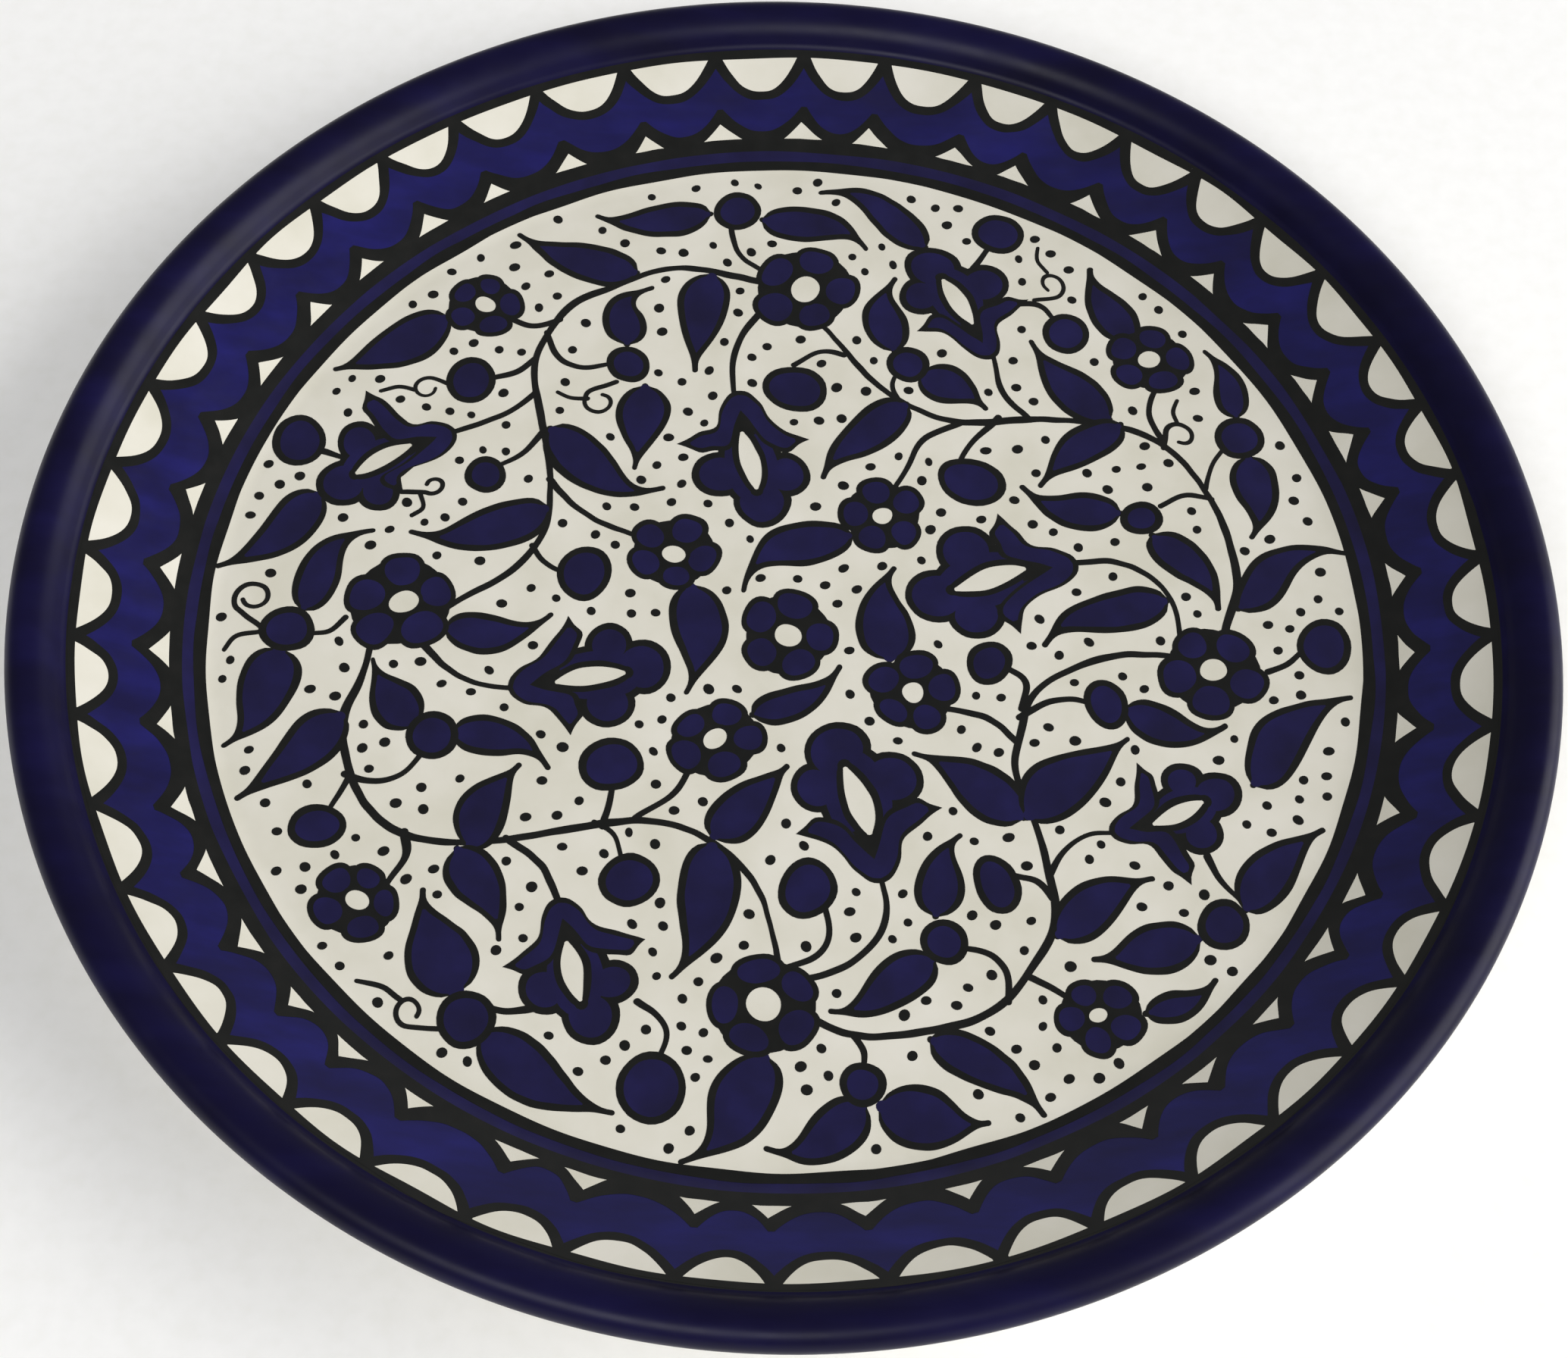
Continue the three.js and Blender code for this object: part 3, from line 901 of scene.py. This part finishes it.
def arch_and_dome(start, end, rng):
    """An arch of ink between two cusps and the cream dome inside it, deeper on the far side of the plate."""
    middle = (start + end) / 2
    half_gap = (end - start) / 2 * ARCH_BASE_RADIUS
    depth = ARCH_DEPTH * (1 + ARCH_DEPTH_GAIN * math.sin(middle)) * rng.uniform(0.92, 1.08)
    skew = rng.uniform(-0.08, 0.08)
    power = rng.uniform(2.0, 2.5)

    def hanging(half_width, depth):
        across = np.linspace(-1, 1, 29)
        drop = depth * (1 - np.abs(across) ** power)
        shift = skew * half_width * (1 - across**2)
        turn = middle + (across * half_width + shift) / ARCH_BASE_RADIUS
        curve = on_plate(ARCH_BASE_RADIUS - drop, turn)
        return np.concatenate([curve, on_plate(ARCH_BASE_RADIUS + ARCH_TUCK, turn[[-1, 14, 0]])])

    return hanging(half_gap + CUSP_SPREAD, depth + ARCH_OUTLINE), hanging(half_gap - CUSP_GAP, depth)


def paint_tooth(painting, start, end, tip, rng):
    """Between two dips of the cobalt stands an inked tooth, with a cream triangle inside it."""
    left, right = tip - start, end - tip
    height = (TOOTH_TIP_RADIUS - TOOTH_DIP_RADIUS) * rng.uniform(0.86, 1.12)
    across = np.linspace(-1, 1, 31)
    turn = tip + np.where(across < 0, across * left, across * right)
    nearness = np.maximum(0, 1 - np.abs(across) * 1.02)
    rise = height * (np.minimum(nearness, TOOTH_BLUNTNESS) / TOOTH_BLUNTNESS) ** TOOTH_HOLLOW
    top = on_plate(TOOTH_DIP_RADIUS + rise, turn)
    bottom = on_plate(OUTER_LINE_RADIUS - 0.6 * MM, turn[::-1])
    painting.paint("wall_ink", np.concatenate([top, bottom]))
    reach = TRIANGLE_HALF_WIDTH * rng.uniform(0.8, 1.12)
    lean = rng.uniform(-0.25, 0.25)
    tip_radius = TRIANGLE_TIP_RADIUS + (height - (TOOTH_TIP_RADIUS - TOOTH_DIP_RADIUS)) * 0.8
    base_radius = OUTER_LINE_RADIUS + rng.uniform(-0.1, 0.15) * MM
    across = np.linspace(-1, 1, 21)
    rise = (tip_radius - base_radius) * (1 - np.abs(across)) ** 1.15
    turn = tip + (across + lean * (1 - np.abs(across))) * reach / OUTER_LINE_RADIUS
    base_turn = np.linspace(turn[-1], turn[0], 6)[1:-1]
    triangle = np.concatenate([on_plate(base_radius + rise, turn), on_plate(base_radius, base_turn)])
    painting.paint("wall_cream", triangle)


def paint_wall(rng):
    painting = Painting(quick_wander)
    cusps = uneven_turns(rng, ARCHES, 0.09)
    starts = [cusps[-1] - 2 * math.pi, *cusps[:-1]]
    arches = [arch_and_dome(start, end, rng) for start, end in zip(starts, cusps)]
    for ink, _ in arches:
        painting.paint("wall_ink", ink)
    for _, dome in arches:
        painting.paint("wall_cream", dome)
    tips = cusps + np.array([rng.uniform(-0.016, 0.016) for _ in cusps])
    around = [tips[-1] - 2 * math.pi, *tips, tips[0] + 2 * math.pi]
    for before, tip, after in zip(around, around[1:], around[2:]):
        paint_tooth(painting, (before + tip) / 2, (tip + after) / 2, tip, rng)
    ring_sectors(painting, ARCH_BASE_RADIUS, BORDER_RADIUS - 0.3 * MM, BORDER_SEED)
    ring_sectors(painting, WELL_RADIUS - 0.1 * MM, INNER_LINE_RADIUS, INNER_LINE_SEED)
    ring_sectors(painting, RING_RADIUS, OUTER_LINE_RADIUS - 0.2 * MM, OUTER_LINE_SEED)
    return painting


# ---- laying the paint on the dish

def cut_into_layers(painting, guide_points=()):
    """Cuts the plan into triangles along every outline, and sorts them by the layer painted over them last.

    The layer called bare is dropped, so the glaze shows there.
    """
    corners, outlines = [], []
    for layer, outline in painting.shapes:
        outlines.append(list(range(len(corners), len(corners) + len(outline))))
        corners.extend(Vector((p.real, p.imag)) for p in outline)
    corners.extend(Vector((p.real, p.imag)) for p in guide_points)
    points, _, triangles, _, _, owners = delaunay_2d_cdt(corners, [], outlines, 0, 1e-7, True)
    layers = {}
    for triangle, owner in zip(triangles, owners):
        if owner:
            layer = painting.shapes[max(owner)][0]
            layers.setdefault(layer, []).append(tuple(triangle))
    layers.pop("bare", None)
    return np.array([complex(*p) for p in points]), layers


def lay_on_dish(name, points, triangles, material):
    """A thin closed layer of paint over some triangles of the plan, shaded like the dish beneath it."""
    used = sorted({corner for triangle in triangles for corner in triangle})
    index = {corner: place for place, corner in enumerate(used)}
    plan = points[used]
    count = len(used)
    radius = np.abs(plan)
    surface = dish_height(radius)
    top = np.column_stack([plan.real, plan.imag, surface + INK_LIFT])
    bottom = np.column_stack([plan.real, plan.imag, surface - INK_SINK])
    faces = []
    borders = set()
    for triangle in triangles:
        a, b, c = (index[corner] for corner in triangle)
        faces.append((a, b, c))
        faces.append((c + count, b + count, a + count))
        for edge in ((a, b), (b, c), (c, a)):
            if edge[::-1] in borders:
                borders.remove(edge[::-1])
            else:
                borders.add(edge)
    for start, end in sorted(borders):
        faces.append((start, start + count, end + count, end))
    piece = mesh_object(name, np.vstack([top, bottom]), faces, material)
    piece.data.shade_smooth()
    slope = dish_slope(radius)
    outward = plan / np.maximum(radius, 1e-9)
    normals = np.column_stack([-outward.real * np.sin(slope), -outward.imag * np.sin(slope), np.cos(slope)])
    piece.data.normals_split_custom_set_from_vertices([tuple(n) for n in np.vstack([normals, normals])])
    return piece


# ---- materials

def linear(red, green, blue):
    """A colour given as 0-255 screen values, as the shader's linear values."""
    def channel(value):
        value /= 255
        return value / 12.92 if value <= 0.04045 else ((value + 0.055) / 1.055) ** 2.4
    return (channel(red), channel(green), channel(blue), 1)


class Shader:
    """A material's node tree, with the few kinds of node that the glazes and the clay share."""

    def __init__(self, name):
        self.material = bpy.data.materials.new(name)
        self.material.use_nodes = True
        self.tree = self.material.node_tree
        self.surface = self.tree.nodes["Principled BSDF"]
        self.place = self.tree.nodes.new("ShaderNodeTexCoord").outputs["Object"]

    def noise(self, size, detail=2.0, stretch=None):
        """Noise whose features are about size across, in metres."""
        source = self.place
        if stretch:
            mapping = self.tree.nodes.new("ShaderNodeMapping")
            mapping.inputs["Scale"].default_value = stretch
            self.tree.links.new(source, mapping.inputs["Vector"])
            source = mapping.outputs["Vector"]
        noise = self.tree.nodes.new("ShaderNodeTexNoise")
        noise.inputs["Scale"].default_value = 1 / size
        noise.inputs["Detail"].default_value = detail
        self.tree.links.new(source, noise.inputs["Vector"])
        return noise.outputs["Fac"]

    def colour_ramp(self, value, stops):
        ramp = self.tree.nodes.new("ShaderNodeValToRGB")
        elements = ramp.color_ramp.elements
        for element, (position, colour) in zip(elements, stops):
            element.position = position
            element.color = colour
        for position, colour in stops[2:]:
            elements.new(position).color = colour
        self.tree.links.new(value, ramp.inputs["Fac"])
        return ramp.outputs["Color"]

    def remap(self, value, low, high):
        node = self.tree.nodes.new("ShaderNodeMapRange")
        node.inputs["From Min"].default_value = 0.3
        node.inputs["From Max"].default_value = 0.7
        node.inputs["To Min"].default_value = low
        node.inputs["To Max"].default_value = high
        self.tree.links.new(value, node.inputs["Value"])
        return node.outputs["Result"]

    def bump(self, height, distance, under=None):
        node = self.tree.nodes.new("ShaderNodeBump")
        node.inputs["Distance"].default_value = distance
        self.tree.links.new(height, node.inputs["Height"])
        if under:
            self.tree.links.new(under, node.inputs["Normal"])
        return node.outputs["Normal"]

    def connect(self, value, socket):
        self.tree.links.new(value, self.surface.inputs[socket])


def glaze(name, colours, roughness, pool_size=9 * MM, brushed=None, waviness=0.1 * MM, specular=0.4):
    """Fired glaze: colour that pools and thins, a surface that waves gently, and fine orange peel."""
    shader = Shader(name)
    pooled = shader.noise(pool_size, 4.0, brushed)
    thin, even, thick = (linear(*colour) for colour in colours)
    shader.connect(shader.colour_ramp(pooled, [(0.3, thin), (0.72, thick), (0.5, even)]), "Base Color")
    shader.connect(shader.remap(shader.noise(6 * MM, 3.0), *roughness), "Roughness")
    waves = shader.bump(shader.noise(16 * MM, 1.0), waviness)
    peel = shader.bump(shader.noise(1.6 * MM, 2.0), 0.006 * MM, waves)
    shader.connect(peel, "Normal")
    shader.surface.inputs["IOR"].default_value = 1.5
    shader.surface.inputs["Specular IOR Level"].default_value = specular
    return shader.material


def biscuit_clay():
    """Bare fired earthenware: warm, rough, finely gritted."""
    shader = Shader("biscuit_clay")
    grain = shader.noise(0.9 * MM, 6.0)
    stops = [(0.32, linear(176, 140, 112)), (0.7, linear(214, 184, 156)), (0.5, linear(200, 166, 136))]
    shader.connect(shader.colour_ramp(grain, stops), "Base Color")
    shader.connect(shader.remap(shader.noise(2 * MM, 4.0), 0.78, 0.95), "Roughness")
    coarse = shader.bump(shader.noise(3 * MM, 3.0), 0.15 * MM)
    shader.connect(shader.bump(grain, 0.06 * MM, coarse), "Normal")
    return shader.material


def floor_paper():
    """The studio's matt white paper, with a faint fibre."""
    shader = Shader("floor_paper")
    fibre = shader.noise(4 * MM, 5.0)
    stops = [(0.3, linear(248, 248, 247)), (0.7, linear(252, 252, 252)), (0.5, linear(250, 250, 250))]
    shader.connect(shader.colour_ramp(fibre, stops), "Base Color")
    shader.surface.inputs["Roughness"].default_value = 0.9
    return shader.material


BRUSHED = (0.3, 1.0, 1.0)
SATIN = (0.18, 0.27)
MATERIALS = {
    "fired_clay": biscuit_clay(),
    "cream_glaze": glaze(
        "cream_glaze", [(208, 205, 191), (215, 212, 200), (221, 218, 208)], (0.16, 0.26), pool_size=14 * MM
    ),
    "back_glaze": glaze(
        "back_glaze", [(202, 197, 180), (211, 207, 192), (218, 215, 203)], (0.18, 0.32), pool_size=20 * MM
    ),
    "cobalt_glaze": glaze("cobalt_glaze", [(20, 17, 51), (23, 20, 60), (27, 24, 71)], SATIN),
    "wall_cobalt": glaze(
        "wall_cobalt", [(18, 15, 60), (21, 19, 74), (26, 24, 92)], SATIN, pool_size=7 * MM, brushed=BRUSHED
    ),
    "rim_cobalt": glaze(
        "rim_cobalt", [(12, 9, 36), (14, 11, 44), (18, 15, 54)], (0.34, 0.42), brushed=BRUSHED,
        waviness=0.02 * MM, specular=0.14
    ),
    "black_pigment": glaze("black_pigment", [(15, 16, 15), (18, 19, 18), (22, 22, 21)], SATIN, 4 * MM),
}


# ---- the plate's pieces

def settle(piece, slot, *nodes):
    """Gives a piece its body and hides the CAD nodes that it stands for. Its slot in the record is not used.
    """
    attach(piece, "root")
    if nodes:
        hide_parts(*nodes)


# The material of each coat and its slot in the record.
COAT_FINISHES = {
    "well_glaze": ("cream_glaze", "cream_glaze"),
    "well_inner_line": ("black_pigment", "black_pigment"),
    "well_ring_glaze": ("cobalt_glaze", "cobalt_glaze"),
    "well_outer_line": ("black_pigment", "black_pigment"),
    "wall_band_glaze": ("wall_cobalt", "cobalt_glaze"),
    "border_line": ("black_pigment", "black_pigment"),
    "rim_glaze": ("rim_cobalt", "cobalt_glaze"),
    "back_glaze": ("back_glaze", "cream_glaze"),
    "foot_recess_glaze": ("back_glaze", "cream_glaze"),
}


def layer_slot(layer):
    """Fills are cobalt, the wall's domes and triangles are cream, and the rest is black line paint."""
    if layer.endswith("_fills"):
        return "cobalt_glaze"
    return "cream_glaze" if layer == "wall_cream" else "black_pigment"


def build_body():
    settle(clay_body(MATERIALS["fired_clay"]), "fired_clay", "clay_body")
    for name, (finish, slot) in COAT_FINISHES.items():
        settle(coat(name, MATERIALS[finish]), slot, name)


def wall_guide_points():
    """Points that keep the wall's paint close to its cone."""
    radii = np.linspace(OUTER_LINE_RADIUS, ARCH_BASE_RADIUS, 9)[1:-1]
    turns = np.linspace(0, 2 * math.pi, 300, endpoint=False)
    return [on_plate(radius, turn) for radius in radii for turn in turns]


def build_painting():
    rng = random.Random(PAINT_SEED)
    for painting, guides in ((paint_well(rng), ()), (paint_wall(rng), wall_guide_points())):
        points, layers = cut_into_layers(painting, guides)
        for layer, triangles in sorted(layers.items()):
            slot = layer_slot(layer)
            settle(lay_on_dish("painted_" + layer, points, triangles, MATERIALS[slot]), slot)


# ---- the studio

def build_floor():
    """A wide pale sheet that the plate stands on."""
    reach = 30 * PLATE_RADIUS
    corners = [(-reach, -reach, 0), (reach, -reach, 0), (reach, reach, 0), (-reach, reach, 0)]
    mesh_object("floor", corners, [(0, 1, 2, 3)], floor_paper())


def soft_light(name, position, size, power, colour):
    light = bpy.data.lights.new(name, "AREA")
    light.shape = "RECTANGLE"
    light.size, light.size_y = size
    light.energy = power
    light.color = colour
    lamp = bpy.data.objects.new(name, light)
    lamp.location = position
    lamp.rotation_euler = (-Vector(position)).to_track_quat("-Z", "Y").to_euler()
    bpy.context.scene.collection.objects.link(lamp)


def build_lights():
    world = bpy.data.worlds.new("studio")
    world.use_nodes = True
    backdrop = world.node_tree.nodes["Background"]
    backdrop.inputs["Color"].default_value = (1.0, 0.99, 0.97, 1)
    backdrop.inputs["Strength"].default_value = 0.22
    bpy.context.scene.world = world
    soft_light("window", (2.6, -0.16, 1.2), (3.4, 2.4), 112, (1.0, 0.99, 0.97))
    soft_light("front_fill", (-0.5, -1.7, 2.3), (1.8, 1.2), 42, (1.0, 1.0, 1.0))
    soft_light("far_backdrop", (0, 2.6, 0.9), (5.0, 1.6), 3, (1.0, 1.0, 1.0))


# The camera's place was fitted to the photographed rings. Its distance and steps are in plate radii.
CAMERA_LENS = 69.6
CAMERA_ELEVATION = math.radians(60.6)
CAMERA_ROLL = math.radians(2.746)
CAMERA_DISTANCE = 3.9205
CAMERA_SIDESTEP = -0.0047
CAMERA_DROP = -0.1077


def build_camera():
    """The camera looks down on the plate from the front, from nearly four plate radii away."""
    camera = bpy.data.objects.new("camera", bpy.data.cameras.new("camera"))
    camera.data.sensor_width = 36
    camera.data.lens = CAMERA_LENS
    aim = max(node_points("rim_glaze"), key=lambda point: point[0])[1]
    turn = Matrix.Rotation(RIGHT_ANGLE - CAMERA_ELEVATION, 4, "X") @ Matrix.Rotation(CAMERA_ROLL, 4, "Z")
    offset = Vector((CAMERA_SIDESTEP, CAMERA_DROP, CAMERA_DISTANCE)) * PLATE_RADIUS
    camera.matrix_world = Matrix.Translation((0, 0, aim)) @ turn @ Matrix.Translation(offset)
    bpy.context.scene.collection.objects.link(camera)
    bpy.context.scene.camera = camera
    bpy.context.scene.view_settings.view_transform = "Standard"


build_body()
build_painting()
build_floor()
build_lights()
build_camera()
